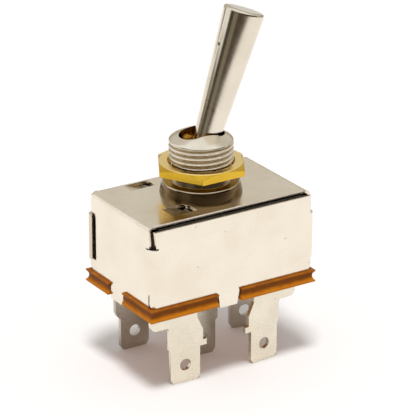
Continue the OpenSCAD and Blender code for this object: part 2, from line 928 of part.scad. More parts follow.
module bushing() {
    r = thread_radius;
    chamfer = 0.5;
    lip_radius = spigot_radius + lip_reach;
    shoulder = r - chamfer;
    grip_low = nut_height - 2 * fit;
    grip_high = nut_height + nut_thickness + 2 * fit;
    spread = tan(throw);
    tail = tail_diameter / 2 / cos(throw) + slot_clearance;
    bottom = -sheet - fit - lip_height;
    flare_top = (seat_radius - tail) / spread;
    color(nickel)
        difference() {
            translate([0, 0, top_z])
                rotate_extrude($fn = 96)
                    polygon([
                        [0, bottom],
                        [lip_radius, bottom],
                        [lip_radius, -sheet - fit],
                        [spigot_radius, -sheet - fit],
                        [spigot_radius, 0],
                        [flange_diameter / 2, 0],
                        [flange_diameter / 2, flange_height - flange_edge],
                        [flange_diameter / 2 - flange_edge, flange_height],
                        [r, flange_height],
                        [r, grip_low],
                        [grip_radius, grip_low],
                        [grip_radius, grip_high],
                        [r, grip_high],
                        [r, thread_top],
                        [shoulder, thread_top + chamfer],
                        [slot_radius, crown_top],
                        [0, crown_top + crown_rise]
                    ]);
            translate([0, 0, pivot_z]) {
                sphere(r = seat_radius, $fn = 96);
                neck_slot();
                rotate_extrude($fn = 96)
                    polygon([
                        [0, 0],
                        [seat_radius, 0],
                        [seat_radius, -flare_top],
                        [tail + spread * (pivot_height - bottom + eps), bottom - pivot_height - eps],
                        [0, bottom - pivot_height - eps]
                    ]);
            }
        }
}

module hex_nut() {
    corner = nut_flats / sqrt(3);
    flat_radius = nut_flats / 2 - chamfer_step;
    drop = (corner - flat_radius) / 2;
    hole = grip_radius + fit;
    mouth = thread_radius + countersink;
    color(brass)
        translate([0, 0, top_z + nut_height])
            difference() {
                intersection() {
                    cylinder(h = nut_thickness, r = corner, $fn = 6);
                    rotate_extrude($fn = 96)
                        polygon([
                            [0, 0],
                            [corner, 0],
                            [corner, nut_thickness - drop],
                            [flat_radius, nut_thickness],
                            [0, nut_thickness]
                        ]);
                }
                translate([0, 0, -1]) cylinder(h = nut_thickness + 2, r = hole);
                translate([0, 0, nut_thickness - (mouth - hole)])
                    cylinder(h = mouth - hole + eps, r1 = hole, r2 = mouth + eps);
            }
}

// ---------------------------------------------------------------- liner

// Insulating sleeve that stands on the base plate, inside the case's walls
module insulating_liner() {
    l = half_l - sheet - fit;
    w = half_w - sheet - fit;
    height = case_height - end_bend - fit;
    flap_top = case_height - sheet - 2 * fit;
    flap = half_l - end_bend - sheet;
    color(black)
        translate([0, 0, floor_z]) {
            linear_extrude(height)
                difference() {
                    liner_outline(l, w, corner_bend);
                    liner_outline(l - liner, w - liner, corner_bend - liner);
                }
            // flaps along the long walls, up to the top plate
            for (turn = [0, 180])
                rotate([0, 0, turn])
                    translate([-flap, -w, 0]) cube([2 * flap, liner, flap_top]);
        }
}

// Rectangle with rounded corners
module liner_outline(l, w, r) {
    difference() {
        translate([-l, -w]) square([2 * l, 2 * w]);
        for (x = [0, 1], y = [0, 1])
            mirror([x, 0]) mirror([0, y]) translate([-l, -w]) corner_cut(r);
    }
}

housing();
bushing();
hex_nut();
lever();
plunger();
plunger_spring();
base_plate();
insulating_liner();
terminal_front_left();
terminal_front_right();
terminal_rear_left();
terminal_rear_right();
terminal_common();
fixed_contact_front_left();
fixed_contact_front_right();
fixed_contact_rear_left();
fixed_contact_rear_right();
fulcrum_saddle();
saddle_rivet_front();
saddle_rivet_rear();
contact_bar();
rocker_cap();
moving_contact_front_left();
moving_contact_front_right();
moving_contact_rear_left();
moving_contact_rear_right();
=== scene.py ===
"""Panel toggle switch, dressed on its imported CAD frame.

The bushing, the lever and the plunger's spring are built here as finished meshes with thread,
slot and turned surfaces. The folded case, the nut, the base plate, the terminals and the parts
inside keep their CAD solids and get edge easing and procedural finishes.
Lengths are metres, or millimetres where a name ends in _mm. Angles are degrees where a name
ends in _deg.
"""

import logging
import math
from dataclasses import dataclass, field, replace
from enum import Enum

import bmesh
import bpy
from mathutils import Matrix, Vector

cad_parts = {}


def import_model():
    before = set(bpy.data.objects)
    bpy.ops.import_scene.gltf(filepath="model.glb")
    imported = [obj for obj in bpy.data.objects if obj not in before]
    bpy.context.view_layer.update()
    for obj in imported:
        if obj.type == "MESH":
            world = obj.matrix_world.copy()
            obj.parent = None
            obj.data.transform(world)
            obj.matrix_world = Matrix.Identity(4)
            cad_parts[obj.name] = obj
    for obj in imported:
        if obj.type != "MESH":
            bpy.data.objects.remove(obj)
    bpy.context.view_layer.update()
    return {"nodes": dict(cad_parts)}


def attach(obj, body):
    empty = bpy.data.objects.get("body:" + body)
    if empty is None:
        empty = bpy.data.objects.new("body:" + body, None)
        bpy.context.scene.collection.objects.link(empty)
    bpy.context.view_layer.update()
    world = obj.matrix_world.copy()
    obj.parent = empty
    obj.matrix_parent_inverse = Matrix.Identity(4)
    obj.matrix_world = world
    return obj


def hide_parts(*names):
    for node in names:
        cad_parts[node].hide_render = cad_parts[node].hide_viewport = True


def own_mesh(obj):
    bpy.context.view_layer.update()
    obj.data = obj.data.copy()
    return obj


LOG = logging.getLogger("toggle")
MM = 0.001
PIVOT_MM = 40.0  # height of the lever's ball above the floor
THROW_DEG = 19.0  # how far the lever leans to each side
ON_AXIS = 1e-9  # a smaller radius is a point on the axis
SIDE_SHARE = 0.49  # most of a side that one rounding takes
INSIDE_MM = 0.01  # how far the lever's tip stays inside its length and radius
CRISP_DEG = 40.0  # sharper edges stay crisp on the turned pieces
Triple = tuple[float, float, float]
Colour = tuple[float, float, float]
Points = list[tuple[float, float]]
Rings = list[list[bmesh.types.BMVert]]
Socket = bpy.types.NodeSocket


def mm(*values: float) -> Vector:
    """Turns three millimetre values into a vector in metres."""
    return Vector([v * MM for v in values])


def leaned() -> Matrix:
    """The lever's place at rest: on its pivot, leaning along +X."""
    return (Matrix.Translation(mm(0, 0, PIVOT_MM))
            @ Matrix.Rotation(math.radians(THROW_DEG), 4, "Y"))


# ---------------------------------------------------------------- node trees


class Graph:
    """A material's node tree, with short calls for the nodes that the finishes use."""

    def __init__(self, name: str) -> None:
        """Makes an empty material with a Principled shader and an output.

        Args:
            name: the material's name.
        """
        self.material = bpy.data.materials.new(name)
        self.material.use_nodes = True
        self.tree = self.material.node_tree
        self.tree.nodes.clear()
        self.output = self.tree.nodes.new("ShaderNodeOutputMaterial")
        self.shader = self.tree.nodes.new("ShaderNodeBsdfPrincipled")
        self.tree.links.new(self.shader.outputs[0], self.output.inputs["Surface"])
        self._coordinates = self.tree.nodes.new("ShaderNodeTexCoord")

    def link(self, source: Socket, target: Socket) -> None:
        """Joins an output socket to an input socket."""
        self.tree.links.new(source, target)

    def place(self, scale: Triple = (1.0, 1.0, 1.0)) -> Socket:
        """Object coordinates, scaled per axis.

        Args:
            scale: factors for X, Y and Z.

        Returns:
            The scaled coordinates' socket.
        """
        node = self.tree.nodes.new("ShaderNodeMapping")
        node.inputs["Scale"].default_value = scale
        self.link(self._coordinates.outputs["Object"], node.inputs["Vector"])
        return node.outputs["Vector"]

    def noise(self, per_mm: float, detail: float, stretch: Triple = (1.0, 1.0, 1.0)) -> Socket:
        """Cloudy noise of a real size.

        Args:
            per_mm: how many clouds lie on a millimetre.
            detail: octaves.
            stretch: factors for X, Y and Z, below 1 to draw the clouds out.

        Returns:
            The value socket, about 0 to 1.
        """
        node = self.tree.nodes.new("ShaderNodeTexNoise")
        node.inputs["Scale"].default_value = per_mm / MM
        node.inputs["Detail"].default_value = detail
        self.link(self.place(stretch), node.inputs["Vector"])
        return node.outputs[0]

    def cells(self, per_mm: float) -> Socket:
        """Distance to the nearest of scattered points.

        Args:
            per_mm: how many cells lie on a millimetre.

        Returns:
            The distance socket.
        """
        node = self.tree.nodes.new("ShaderNodeTexVoronoi")
        node.inputs["Scale"].default_value = per_mm / MM
        self.link(self.place(), node.inputs["Vector"])
        return node.outputs["Distance"]

    def ramp(self, value: Socket, stops: list[tuple[float, Colour]]) -> Socket:
        """Colours from a value.

        Args:
            value: the value that runs along the ramp.
            stops: positions with their colours.

        Returns:
            The colour socket.
        """
        node = self.tree.nodes.new("ShaderNodeValToRGB")
        ramp = node.color_ramp
        while len(ramp.elements) < len(stops):
            ramp.elements.new(0.5)
        for element, (position, colour) in zip(ramp.elements, stops):
            element.position = position
            element.color = (*colour, 1.0)
        self.link(value, node.inputs["Fac"])
        return node.outputs["Color"]

    def steps(self, value: Socket, stops: Points) -> Socket:
        """A grey ramp, for masks and roughness.

        Args:
            value: the value that runs along the ramp.
            stops: positions with their grey levels.

        Returns:
            The level socket.
        """
        return self.ramp(value, [(p, (v, v, v)) for p, v in stops])

    def mix(self, share: Socket | float, a: Socket | Colour, b: Socket | Colour) -> Socket:
        """Blends two colours.

        Args:
            share: how much of b, a socket or a number.
            a: the first colour or its socket.
            b: the second colour or its socket.

        Returns:
            The colour socket.
        """
        node = self.tree.nodes.new("ShaderNodeMix")
        node.data_type = "RGBA"
        for socket, value in ((node.inputs[0], share), (node.inputs[6], a), (node.inputs[7], b)):
            if isinstance(value, Socket):
                self.link(value, socket)
            elif isinstance(value, tuple):
                socket.default_value = (*value, 1.0)
            else:
                socket.default_value = value
        return node.outputs[2]

    def maths(self, operation: str, a: Socket | float, b: Socket | float) -> Socket:
        """One step of arithmetic.

        Args:
            operation: Blender's operation name.
            a: the first value or its socket.
            b: the second value or its socket.

        Returns:
            The value socket.
        """
        node = self.tree.nodes.new("ShaderNodeMath")
        node.operation = operation
        for socket, value in zip(node.inputs, (a, b)):
            if isinstance(value, Socket):
                self.link(value, socket)
            else:
                socket.default_value = value
        return node.outputs[0]

    def axis(self, name: str) -> Socket:
        """One object coordinate, in metres: X, Y or Z."""
        node = self.tree.nodes.new("ShaderNodeSeparateXYZ")
        self.link(self._coordinates.outputs["Object"], node.inputs[0])
        return node.outputs[name]

    def span(self, value: Socket, low: float, high: float) -> Socket:
        """Maps low..high to 0..1 and clamps.

        Args:
            value: the value to map.
            low: what becomes 0.
            high: what becomes 1.

        Returns:
            The mapped socket.
        """
        node = self.tree.nodes.new("ShaderNodeMapRange")
        node.inputs["From Min"].default_value = low
        node.inputs["From Max"].default_value = high
        self.link(value, node.inputs["Value"])
        return node.outputs["Result"]

    def relief(self, height: Socket, depth_mm: float, below: Socket | None = None) -> Socket:
        """Bumps the surface.

        Args:
            height: the height's socket, 0 to 1.
            depth_mm: the height that 1 stands for.
            below: the normal to start from, from an earlier relief.

        Returns:
            The normal socket.
        """
        node = self.tree.nodes.new("ShaderNodeBump")
        node.inputs["Distance"].default_value = depth_mm * MM
        self.link(height, node.inputs["Height"])
        if below is not None:
            self.link(below, node.inputs["Normal"])
        return node.outputs["Normal"]

    def eased(self, radius_mm: float) -> Socket:
        """A normal that runs softly over sharp edges.

        Args:
            radius_mm: the radius that the edges seem to have.

        Returns:
            The normal socket.
        """
        node = self.tree.nodes.new("ShaderNodeBevel")
        node.samples = 6
        node.inputs["Radius"].default_value = radius_mm * MM
        return node.outputs["Normal"]

    def spot(self, place_mm: Triple, radius_mm: float) -> Socket:
        """A mask round one place on the piece.

        Args:
            place_mm: the place in object coordinates.
            radius_mm: the mask's radius.

        Returns:
            The mask's socket, 1 at the place and 0 beyond the radius.
        """
        node = self.tree.nodes.new("ShaderNodeVectorMath")
        node.operation = "DISTANCE"
        self.link(self._coordinates.outputs["Object"], node.inputs[0])
        node.inputs[1].default_value = mm(*place_mm)
        return self.span(node.outputs["Value"], radius_mm * MM, 0.55 * radius_mm * MM)

    def open_sky(self, reach_mm: float) -> Socket:
        """How open the surface is: 1 in the open, lower in corners and gaps.

        Args:
            reach_mm: how far away a neighbour still counts.

        Returns:
            The value socket.
        """
        node = self.tree.nodes.new("ShaderNodeAmbientOcclusion")
        node.samples = 8
        node.inputs["Distance"].default_value = reach_mm * MM
        return node.outputs["AO"]

    def reach(self) -> Socket:
        """Distance from the piece's Z axis, in metres."""
        node = self.tree.nodes.new("ShaderNodeVectorMath")
        node.operation = "LENGTH"
        self.link(self.place((1.0, 1.0, 0.0)), node.inputs[0])
        return node.outputs["Value"]

    def set(self, **values: Socket | float | Colour) -> None:
        """Sets or joins the Principled shader's sockets.

        Args:
            values: socket names in lower case with underscores, each with a number, a colour
                or a socket.
        """
        for name, value in values.items():
            socket = self.shader.inputs[name.replace("_", " ").title().replace("Ior", "IOR")]
            if isinstance(value, Socket):
                self.link(value, socket)
            elif isinstance(value, tuple):
                socket.default_value = (*value, 1.0)
            else:
                socket.default_value = value


# ---------------------------------------------------------------- finishes


class Grain(Enum):
    """Direction of a metal's fine lines."""

    SATIN = (1.0, 1.0, 1.0)
    ALONG_X = (0.08, 1.0, 1.0)
    TURNED = (0.05, 0.05, 1.0)


@dataclass(frozen=True)
class PaintedLightShade:
    """A band of painted light and shade: a tone that a metal takes between two levels of an axis.

    Where clear_mm is given, it fades in from that radius inwards and is full at full_mm.
    """

    low_mm: float
    high_mm: float
    tone: Colour
    share: float = 1.0
    clear_mm: float = 0.0
    full_mm: float = 0.0
    axis: str = "Z"
    soft_mm: float = 0.04

    def mask(self, g: Graph) -> Socket:
        """Where the band of painted light and shade lies.

        Args:
            g: the material's graph.

        Returns:
            The mask's socket, 0 to the stain's share.
        """
        level = g.axis(self.axis)
        mask = g.maths("MULTIPLY",
                       g.span(level, (self.low_mm - self.soft_mm) * MM,
                              (self.low_mm + self.soft_mm) * MM),
                       g.span(level, (self.high_mm + self.soft_mm) * MM,
                              (self.high_mm - self.soft_mm) * MM))
        if self.clear_mm > 0:
            inside = g.span(g.reach(), self.clear_mm * MM, self.full_mm * MM)
            mask = g.maths("MULTIPLY", mask, inside)
        return g.maths("MULTIPLY", mask, self.share)


@dataclass(frozen=True)
class Plate:
    """Plated or bare metal: body and shade in a haze, fine grain, specks and small dark pits.

    The pit_radius is a share of the space between pits. Each spot is a place and a radius in
    millimetres. Painted shade, in the pit colour, darkens corners closer than corner_shade_mm,
    up to the level corner_shade_top_mm.
    """

    name: str
    body: Colour
    shade: Colour
    rough: tuple[float, float]
    pits_per_mm: float
    pit_radius: float = 0.05
    pit_and_shade_tone: Colour = (0.16, 0.11, 0.06)
    grain: Grain = Grain.SATIN
    grain_per_mm: float = 5.0
    grain_depth_mm: float = 0.004
    wave_depth_mm: float = 0.0
    edge_mm: float = 0.0
    speckle: float = 0.35
    spots: tuple[tuple[Triple, float], ...] = ()
    painted_light_shade: tuple[PaintedLightShade, ...] = ()
    corner_shade_mm: float = 0.0
    corner_shade_top_mm: float = 1000.0
    corner_shade_fade_mm: float = 0.1
    haze_per_mm: float = 0.16
    speck_per_mm: float = 3.2
    speck_tone: Colour = (0.8, 0.76, 0.7)
    wave_per_mm: float = 0.22

    def colour(self, g: Graph, haze: Socket) -> Socket:
        """The metal's colour: specks, pits and spots, painted light and shade bands, painted
        corner shade.

        Args:
            g: the material's graph.
            haze: the clouds that the body and the shade follow.

        Returns:
            The colour socket.
        """
        body = g.mix(g.steps(haze, [(0.35, 0.0), (0.68, 1.0)]), self.body, self.shade)
        speck = g.steps(g.noise(self.speck_per_mm, detail=2.0), [(0.30, 1.0), (0.42, 0.0)])
        worn = tuple(s * t for s, t in zip(self.shade, self.speck_tone))
        body = g.mix(g.maths("MULTIPLY", speck, self.speckle), body,
                     g.mix(0.5, self.shade, worn))
        if self.pits_per_mm > 0:
            pits = g.steps(g.cells(self.pits_per_mm),
                           [(self.pit_radius * 0.6, 1.0), (self.pit_radius, 0.0)])
            body = g.mix(pits, body, self.pit_and_shade_tone)
        for place, radius in self.spots:
            body = g.mix(g.spot(place, radius), body, self.pit_and_shade_tone)
        # painted light and shade: lighter or darker tones in bands along an axis
        for light_shade in self.painted_light_shade:
            body = g.mix(light_shade.mask(g), body, light_shade.tone)
        # painted shade: corners and gaps darkened by ambient occlusion, in the pit colour, below
        # a level
        if self.corner_shade_mm > 0:
            corners = g.steps(g.open_sky(self.corner_shade_mm), [(0.30, 0.85), (0.80, 0.0)])
            below = g.span(g.axis("Z"), self.corner_shade_top_mm * MM,
                           (self.corner_shade_top_mm - self.corner_shade_fade_mm) * MM)
            body = g.mix(g.maths("MULTIPLY", corners, below), body, self.pit_and_shade_tone)
        return body

    def make(self) -> bpy.types.Material:
        """Builds the material.

        Returns:
            The finished material.
        """
        g = Graph(self.name)
        haze = g.noise(self.haze_per_mm, detail=4.0)
        grain = g.noise(self.grain_per_mm, detail=2.0, stretch=self.grain.value)
        low, high = self.rough
        g.set(base_color=self.colour(g, haze), metallic=1.0,
              roughness=g.steps(g.mix(0.5, haze, grain), [(0.3, low), (0.7, high)]))
        edge = g.eased(self.edge_mm) if self.edge_mm > 0 else None
        normal = g.relief(grain, self.grain_depth_mm, below=edge)
        if self.wave_depth_mm > 0:
            normal = g.relief(g.noise(self.wave_per_mm, detail=1.0), self.wave_depth_mm,
                              below=normal)
        g.set(normal=normal)
        return g.material


@dataclass(frozen=True)
class Laminate:
    """Resin-bonded board: amber and fibrous.

    Its edge has painted shade in a brown hollow and painted light on its lower lip.
    """

    name: str
    # lighter tone, for the mottle and for the painted light on the lower lip
    light: Colour
    body: Colour
    # colour of the painted shade in the edge's hollow
    dark: Colour
    low_mm: float
    high_mm: float
    mottle_per_mm: float = 0.9
    fibre_per_mm: float = 5.0
    depth_mm: float = 0.012
    edge_mm: float = 0.12
    gloss: float = 0.07

    def make(self) -> bpy.types.Material:
        """Builds the material.

        Returns:
            The finished material.
        """
        g = Graph(self.name)
        mottle = g.noise(self.mottle_per_mm, detail=4.0, stretch=(0.7, 0.7, 1.2))
        fibre = g.noise(self.fibre_per_mm, detail=3.0, stretch=(0.5, 0.5, 1.0))
        body = g.mix(g.steps(mottle, [(0.35, 0.0), (0.65, 1.0)]), self.body, self.light)
        level = g.span(g.axis("Z"), self.low_mm * MM, self.high_mm * MM)
        # painted light: lighter towards the lower lip
        body = g.mix(g.steps(level, [(0.0, 0.75), (0.2, 0.5), (0.34, 0.0)]), body, self.light)
        # painted shade: a dark brown band in the edge's hollow
        hollow = g.steps(level, [(0.30, 0.0), (0.48, 0.75), (0.80, 0.85), (0.97, 0.35)])
        body = g.mix(hollow, body, self.dark)
        g.set(base_color=body, roughness=g.steps(fibre, [(0.3, 0.34), (0.7, 0.52)]),
              specular_ior_level=self.gloss,
              normal=g.relief(g.mix(0.5, fibre, mottle), self.depth_mm,
                              below=g.eased(self.edge_mm)))
        return g.material


@dataclass(frozen=True)
class Moulding:
    """Moulded plastic or fibre with a fine texture."""

    name: str
    body: Colour
    shade: Colour
    rough: tuple[float, float] = (0.4, 0.55)
    cloud_per_mm: float = 0.6
    per_mm: float = 2.5
    depth_mm: float = 0.01

    def make(self) -> bpy.types.Material:
        """Builds the material.

        Returns:
            The finished material.
        """
        g = Graph(self.name)
        cloud = g.noise(self.cloud_per_mm, detail=4.0)
        fine = g.noise(self.per_mm, detail=3.0)
        low, high = self.rough
        g.set(base_color=g.ramp(cloud, [(0.3, self.shade), (0.7, self.body)]),
              roughness=g.steps(fine, [(0.3, low), (0.7, high)]),
              normal=g.relief(fine, self.depth_mm))
        return g.material


class Finishes:
    """The switch's finishes, one material for each kind of surface, and a painted-shade copy of
    the blades'.
    """

    def __init__(self) -> None:
        """Builds every material once."""
        # painted shade: corners and gaps darken below 32.5 mm, and the hook strip at the left end
        # is darker
        self.case = Plate(
            "case_nickel", (0.885, 0.815, 0.695), (0.84, 0.76, 0.63), rough=(0.15, 0.24),
            pits_per_mm=0.42, pit_radius=0.055, grain_per_mm=4.0, grain_depth_mm=0.0035,
            wave_depth_mm=0.018, edge_mm=0.18, speckle=0.42, corner_shade_mm=0.7, corner_shade_top_mm=32.5,
            painted_light_shade=(PaintedLightShade(-18.3, -17.56, (0.66, 0.58, 0.45), axis="X"),)).make()
        # painted shade and reflection: dark brown flange and neck, a dimmer line on the flange's
        # upper edge, darker thread grooves
        self.bushing = Plate(
            "turned_nickel", (0.84, 0.78, 0.67), (0.74, 0.67, 0.55), rough=(0.16, 0.28),
            pits_per_mm=0.0, grain=Grain.TURNED, grain_per_mm=7.0, grain_depth_mm=0.0025,
            painted_light_shade=(PaintedLightShade(33.0, 35.62, (0.22, 0.150, 0.070)),
                    PaintedLightShade(35.62, 35.76, (0.58, 0.50, 0.38)),
                    PaintedLightShade(35.76, 37.9, (0.34, 0.27, 0.17)),
                    PaintedLightShade(37.9, 43.62, (0.36, 0.26, 0.13), share=0.8,
                          clear_mm=5.93, full_mm=5.62))).make()
        self.bore = Plate(
            "bare_brass", (0.66, 0.40, 0.075), (0.20, 0.10, 0.02), rough=(0.10, 0.24),
            pits_per_mm=0.0, grain=Grain.TURNED, grain_depth_mm=0.012).make()
        self.lever = Plate(
            "polished_nickel", (0.79, 0.725, 0.605), (0.72, 0.65, 0.53), rough=(0.14, 0.21),
            pits_per_mm=0.12, pit_radius=0.03, grain=Grain.TURNED, grain_per_mm=3.5,
            grain_depth_mm=0.0030, speckle=0.4, spots=(((-3.47, -0.1, 21.35), 0.42),)).make()
        # painted highlight: the nut's top face is paler, in the band from 39.5 to 40.0 mm
        self.nut = Plate(
            "turned_brass", (0.74, 0.475, 0.050), (0.64, 0.39, 0.032), rough=(0.18, 0.32),
            pits_per_mm=0.9, pit_radius=0.09, pit_and_shade_tone=(0.25, 0.13, 0.02), grain=Grain.TURNED,
            grain_depth_mm=0.008, edge_mm=0.10, speckle=0.6,
            painted_light_shade=(PaintedLightShade(39.5, 40.0, (0.99, 0.76, 0.32)),)).make()
        blade = Plate(
            "blade_plate", (0.84, 0.785, 0.655), (0.77, 0.71, 0.58), rough=(0.20, 0.32),
            pits_per_mm=0.5, grain_per_mm=4.0, wave_depth_mm=0.015, edge_mm=0.08)
        self.terminal = blade.make()
        # painted shade: the rear blades and the common one take a darker copy of the blade finish
        self.shaded_terminal = replace(
            blade, name="blade_shaded", body=(0.54, 0.50, 0.43), shade=(0.46, 0.42, 0.35),
            rough=(0.24, 0.36)).make()
        self.spring = Plate("spring_wire", (0.58, 0.58, 0.60), (0.42, 0.42, 0.44),
                            rough=(0.2, 0.35), pits_per_mm=0.0).make()
        self.silver = Plate("fine_silver", (0.92, 0.91, 0.89), (0.80, 0.78, 0.74),
                            rough=(0.12, 0.3), pits_per_mm=0.0, grain=Grain.TURNED).make()
        self.copper = Plate("copper_strip", (0.80, 0.45, 0.27), (0.62, 0.31, 0.17),
                            rough=(0.2, 0.4), pits_per_mm=0.3, grain=Grain.ALONG_X).make()
        self.rivet = Plate("rivet_brass", (0.83, 0.60, 0.25), (0.66, 0.43, 0.14),
                           rough=(0.2, 0.4), pits_per_mm=0.3).make()
        # painted shade and light on the base plate's edge, between 15.2 and 17.55 mm
        self.base = Laminate("amber_laminate", (0.56, 0.185, 0.008), (0.40, 0.115, 0.007),
                             (0.13, 0.034, 0.005), low_mm=15.2, high_mm=17.55).make()
        self.liner = Moulding("black_fibre", (0.040, 0.032, 0.024), (0.018, 0.014, 0.010),
                              rough=(0.6, 0.8), per_mm=4.0).make()
        self.cap = Moulding("black_moulding", (0.030, 0.027, 0.025), (0.014, 0.012, 0.011)).make()
        self.plunger = Moulding("nylon", (0.86, 0.82, 0.70), (0.76, 0.71, 0.58),
                                rough=(0.3, 0.42)).make()


# ---------------------------------------------------------------- mesh help


def new_piece(name: str, mesh: bmesh.types.BMesh,
              material: bpy.types.Material) -> bpy.types.Object:
    """Turns a bmesh into a shown object.

    Args:
        name: the object's name.
        mesh: its geometry, freed afterwards.
        material: its finish.

    Returns:
        The object, linked to the scene.
    """
    data = bpy.data.meshes.new(name)
    mesh.to_mesh(data)
    mesh.free()
    data.materials.append(material)
    piece = bpy.data.objects.new(name, data)
    bpy.context.scene.collection.objects.link(piece)
    return piece


def ring(mesh: bmesh.types.BMesh, points: Points) -> list[bmesh.types.BMVert]:
    """Adds a ring of vertices about Z.

    Args:
        mesh: the bmesh that takes them.
        points: (radius, height) in metres, one for each side.

    Returns:
        The ring's vertices.
    """
    sides = len(points)
    return [mesh.verts.new((r * math.cos(2 * math.pi * i / sides),
                            r * math.sin(2 * math.pi * i / sides), h))
            for i, (r, h) in enumerate(points)]


def ring_faces(mesh: bmesh.types.BMesh, low: list[bmesh.types.BMVert],
               high: list[bmesh.types.BMVert]) -> None:
    """Joins two rings of the same count with quads.

    Args:
        mesh: the bmesh that holds them.
        low: the first ring's vertices.
        high: the second ring's vertices.
    """
    count = len(low)
    for i in range(count):
        k = (i + 1) % count
        mesh.faces.new((low[i], low[k], high[k], high[i]))


def skin(mesh: bmesh.types.BMesh, rings: Rings) -> None:
    """Closes a stack of rings into a solid, with quads between them and a cap on each end.

    Args:
        mesh: the bmesh that holds them.
        rings: the rings, in order.
    """
    for low, high in zip(rings, rings[1:]):
        ring_faces(mesh, low, high)
    mesh.faces.new(list(reversed(rings[0])))
    mesh.faces.new(rings[-1])
    bmesh.ops.recalc_face_normals(mesh, faces=mesh.faces[:])


def turned(profile: Points, sides: int) -> bmesh.types.BMesh:
    """A closed solid of revolution about Z.

    Args:
        profile: (radius, height) points in metres, from one end on the axis to the other.
        sides: how many sides it has.

    Returns:
        The bmesh, its normals outward.
    """
    mesh = bmesh.new()
    rings: Rings = []
    for radius, height in profile:
        rings.append(ring(mesh, [(radius, height)] * (1 if radius < ON_AXIS else sides)))
    for low, high in zip(rings, rings[1:]):
        if len(low) == 1:
            for i in range(sides):
                mesh.faces.new((low[0], high[(i + 1) % sides], high[i]))
        elif len(high) == 1:
            for i in range(sides):
                mesh.faces.new((low[i], low[(i + 1) % sides], high[0]))
        else:
            ring_faces(mesh, low, high)
    bmesh.ops.recalc_face_normals(mesh, faces=mesh.faces[:])
    return mesh


def fillet(corner: tuple[float, float], before: tuple[float, float],
           after: tuple[float, float], radius: float, count: int = 5) -> Points:
    """Rounds a profile's corner.

    Args:
        corner: the sharp point.
        before: the point before it.
        after: the point after it.
        radius: the distance from the corner at which the round starts.
        count: points on the round.

    Returns:
        The round's points, in order.
    """
    c, a, b = Vector(corner), Vector(before), Vector(after)
    start = c + (a - c).normalized() * min(radius, (a - c).length * SIDE_SHARE)
    end = c + (b - c).normalized() * min(radius, (b - c).length * SIDE_SHARE)
    points = []
    for i in range(count):
        t = i / (count - 1)
        p = start.lerp(c, t).lerp(c.lerp(end, t), t)
        points.append((p.x, p.y))
    return points


def rounded(profile: list[tuple[float, float, float]]) -> Points:
    """Rounds a whole profile.

    Args:
        profile: (radius, height, rounding) points, in any one unit.

    Returns:
        The rounded profile's points.
    """
    points: Points = []
    for i, (r, h, rounding) in enumerate(profile):
        if rounding <= 0 or i in (0, len(profile) - 1):
            points.append((r, h))
        else:
            points += fillet((r, h), profile[i - 1][:2], profile[i + 1][:2], rounding)
    return points


def smooth(piece: bpy.types.Object, angle: float) -> None:
    """Shades a piece smooth, with edges sharper than the angle kept crisp.

    Args:
        piece: a mesh object.
        angle: degrees.
    """
    data = piece.data
    mesh = bmesh.new()
    mesh.from_mesh(data)
    for face in mesh.faces:
        face.smooth = True
    for edge in mesh.edges:
        sharp = len(edge.link_faces) == 2 and edge.calc_face_angle(0.0) > math.radians(angle)
        edge.smooth = not sharp
    mesh.to_mesh(data)
    mesh.free()


def applied(piece: bpy.types.Object) -> None:
    """Bakes a piece's modifiers into its mesh."""
    graph = bpy.context.evaluated_depsgraph_get()
    data = bpy.data.meshes.new_from_object(piece.evaluated_get(graph))
    piece.modifiers.clear()
    piece.data = data


def cut(piece: bpy.types.Object, tool: bpy.types.Object) -> None:
    """Takes a tool's shape out of a piece.

    Args:
        piece: what is cut.
        tool: the cutter, removed afterwards.
    """
    step = piece.modifiers.new("cut", "BOOLEAN")
    step.operation = "DIFFERENCE"
    step.solver = "EXACT"
    step.material_mode = "TRANSFER"
    step.object = tool
    applied(piece)
    bpy.data.objects.remove(tool)


# ---------------------------------------------------------------- sub-assemblies


